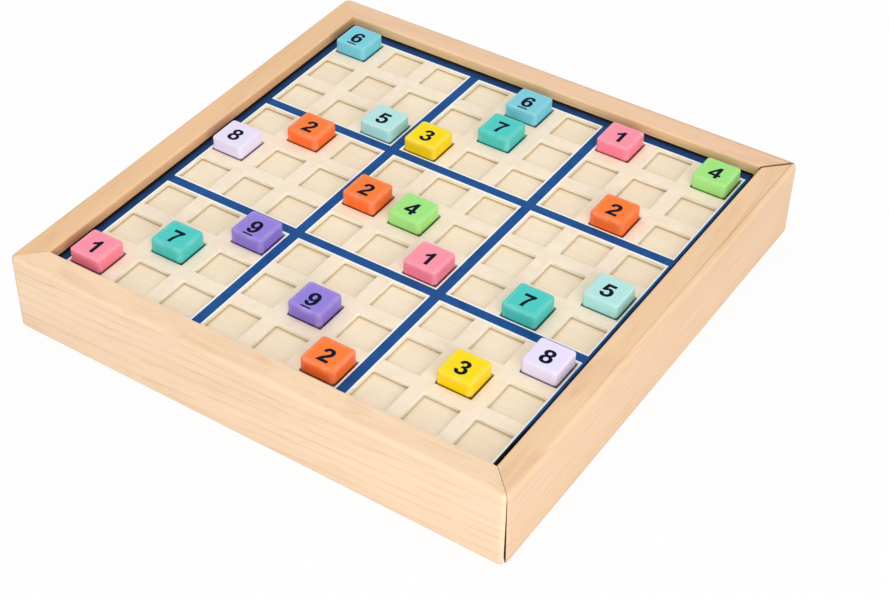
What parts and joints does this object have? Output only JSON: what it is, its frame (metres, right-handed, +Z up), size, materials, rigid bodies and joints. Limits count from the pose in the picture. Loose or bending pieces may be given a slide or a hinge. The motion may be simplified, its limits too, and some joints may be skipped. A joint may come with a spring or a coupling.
{
  "type": "sudoku board",
  "caption": "Square wooden sudoku board: mitred case, printed grid of square pockets, loose coloured number tiles, and a drawer under the board that stores the tiles not in play.",
  "frame": {"origin": "centre of the case's underside, on the table", "axes": "+Z up; +X out of the drawer, along the front rail; +Y away from the player, so the numbers stand with their feet towards -Y"},
  "size_m": [0.225, 0.225, 0.0364],
  "materials": {
    "case_wood": "pale sanded softwood under a thin satin lacquer",
    "tray_wood": "bare sanded softwood",
    "plywood": "thin pale plywood, sanded",
    "pocket_floor": "pale plywood, matte",
    "printed_board": "cream matte print with blue block lines and white edging",
    "steel_fixings": "plain bright steel",
    "tile_paint_1": "hardwood block in satin paint with a dark printed number",
    "tile_paint_2": "hardwood block in satin paint with a dark printed number",
    "tile_paint_3": "hardwood block in satin paint with a dark printed number",
    "tile_paint_4": "hardwood block in satin paint with a dark printed number",
    "tile_paint_5": "hardwood block in satin paint with a dark printed number",
    "tile_paint_6": "hardwood block in satin paint with a dark printed number",
    "tile_paint_7": "hardwood block in satin paint with a dark printed number",
    "tile_paint_8": "hardwood block in satin paint with a dark printed number",
    "tile_paint_9": "hardwood block in satin paint with a dark printed number"
  },
  "bodies": {
    "case": {"front_rail": "case_wood", "left_rail": "case_wood", "back_rail": "case_wood", "corner_nails": "steel_fixings", "bottom_panel": "plywood", "backing_plate": "pocket_floor", "grid_plate": "printed_board"},
    "drawer": {"drawer_front": "case_wood", "drawer_floor": "plywood", "drawer_side_near": "tray_wood", "drawer_side_far": "tray_wood", "drawer_back": "tray_wood", "long_divider_near": "plywood", "long_divider_far": "plywood", "cross_divider_inner": "plywood", "cross_divider_outer": "plywood", "drawer_brads": "steel_fixings", "spare_tiles_1": "tile_paint_1", "spare_tiles_2": "tile_paint_2", "spare_tiles_3": "tile_paint_3", "spare_tiles_4": "tile_paint_4", "spare_tiles_5": "tile_paint_5", "spare_tiles_6": "tile_paint_6", "spare_tiles_7": "tile_paint_7", "spare_tiles_8": "tile_paint_8", "spare_tiles_9": "tile_paint_9"},
    "tile_r1c1": {"tile_r1c1": "tile_paint_6"},
    "tile_r1c5": {"tile_r1c5": "tile_paint_6"},
    "tile_r1c7": {"tile_r1c7": "tile_paint_1"},
    "tile_r1c9": {"tile_r1c9": "tile_paint_4"},
    "tile_r2c5": {"tile_r2c5": "tile_paint_7"},
    "tile_r3c3": {"tile_r3c3": "tile_paint_5"},
    "tile_r3c4": {"tile_r3c4": "tile_paint_3"},
    "tile_r3c8": {"tile_r3c8": "tile_paint_2"},
    "tile_r4c2": {"tile_r4c2": "tile_paint_2"},
    "tile_r5c1": {"tile_r5c1": "tile_paint_8"},
    "tile_r5c4": {"tile_r5c4": "tile_paint_2"},
    "tile_r5c5": {"tile_r5c5": "tile_paint_4"},
    "tile_r5c9": {"tile_r5c9": "tile_paint_5"},
    "tile_r6c6": {"tile_r6c6": "tile_paint_1"},
    "tile_r6c8": {"tile_r6c8": "tile_paint_7"},
    "tile_r7c3": {"tile_r7c3": "tile_paint_9"},
    "tile_r7c9": {"tile_r7c9": "tile_paint_8"},
    "tile_r8c2": {"tile_r8c2": "tile_paint_7"},
    "tile_r8c5": {"tile_r8c5": "tile_paint_9"},
    "tile_r8c8": {"tile_r8c8": "tile_paint_3"},
    "tile_r9c1": {"tile_r9c1": "tile_paint_1"},
    "tile_r9c6": {"tile_r9c6": "tile_paint_2"}
  },
  "joints": [
    {"name": "drawer_slide", "type": "slide", "parent": "case", "child": "drawer", "axis": [1, 0, 0], "range_m": [0, 0.18]},
    {"name": "lift_r1c1", "type": "slide", "parent": "case", "child": "tile_r1c1", "axis": [0, 0, 1], "range_m": [0, 0.025]},
    {"name": "lift_r1c5", "type": "slide", "parent": "case", "child": "tile_r1c5", "axis": [0, 0, 1], "range_m": [0, 0.025]},
    {"name": "lift_r1c7", "type": "slide", "parent": "case", "child": "tile_r1c7", "axis": [0, 0, 1], "range_m": [0, 0.025]},
    {"name": "lift_r1c9", "type": "slide", "parent": "case", "child": "tile_r1c9", "axis": [0, 0, 1], "range_m": [0, 0.025]},
    {"name": "lift_r2c5", "type": "slide", "parent": "case", "child": "tile_r2c5", "axis": [0, 0, 1], "range_m": [0, 0.025]},
    {"name": "lift_r3c3", "type": "slide", "parent": "case", "child": "tile_r3c3", "axis": [0, 0, 1], "range_m": [0, 0.025]},
    {"name": "lift_r3c4", "type": "slide", "parent": "case", "child": "tile_r3c4", "axis": [0, 0, 1], "range_m": [0, 0.025]},
    {"name": "lift_r3c8", "type": "slide", "parent": "case", "child": "tile_r3c8", "axis": [0, 0, 1], "range_m": [0, 0.025]},
    {"name": "lift_r4c2", "type": "slide", "parent": "case", "child": "tile_r4c2", "axis": [0, 0, 1], "range_m": [0, 0.025]},
    {"name": "lift_r5c1", "type": "slide", "parent": "case", "child": "tile_r5c1", "axis": [0, 0, 1], "range_m": [0, 0.025]},
    {"name": "lift_r5c4", "type": "slide", "parent": "case", "child": "tile_r5c4", "axis": [0, 0, 1], "range_m": [0, 0.025]},
    {"name": "lift_r5c5", "type": "slide", "parent": "case", "child": "tile_r5c5", "axis": [0, 0, 1], "range_m": [0, 0.025]},
    {"name": "lift_r5c9", "type": "slide", "parent": "case", "child": "tile_r5c9", "axis": [0, 0, 1], "range_m": [0, 0.025]},
    {"name": "lift_r6c6", "type": "slide", "parent": "case", "child": "tile_r6c6", "axis": [0, 0, 1], "range_m": [0, 0.025]},
    {"name": "lift_r6c8", "type": "slide", "parent": "case", "child": "tile_r6c8", "axis": [0, 0, 1], "range_m": [0, 0.025]},
    {"name": "lift_r7c3", "type": "slide", "parent": "case", "child": "tile_r7c3", "axis": [0, 0, 1], "range_m": [0, 0.025]},
    {"name": "lift_r7c9", "type": "slide", "parent": "case", "child": "tile_r7c9", "axis": [0, 0, 1], "range_m": [0, 0.025]},
    {"name": "lift_r8c2", "type": "slide", "parent": "case", "child": "tile_r8c2", "axis": [0, 0, 1], "range_m": [0, 0.025]},
    {"name": "lift_r8c5", "type": "slide", "parent": "case", "child": "tile_r8c5", "axis": [0, 0, 1], "range_m": [0, 0.025]},
    {"name": "lift_r8c8", "type": "slide", "parent": "case", "child": "tile_r8c8", "axis": [0, 0, 1], "range_m": [0, 0.025]},
    {"name": "lift_r9c1", "type": "slide", "parent": "case", "child": "tile_r9c1", "axis": [0, 0, 1], "range_m": [0, 0.025]},
    {"name": "lift_r9c6", "type": "slide", "parent": "case", "child": "tile_r9c6", "axis": [0, 0, 1], "range_m": [0, 0.025]}
  ]
}
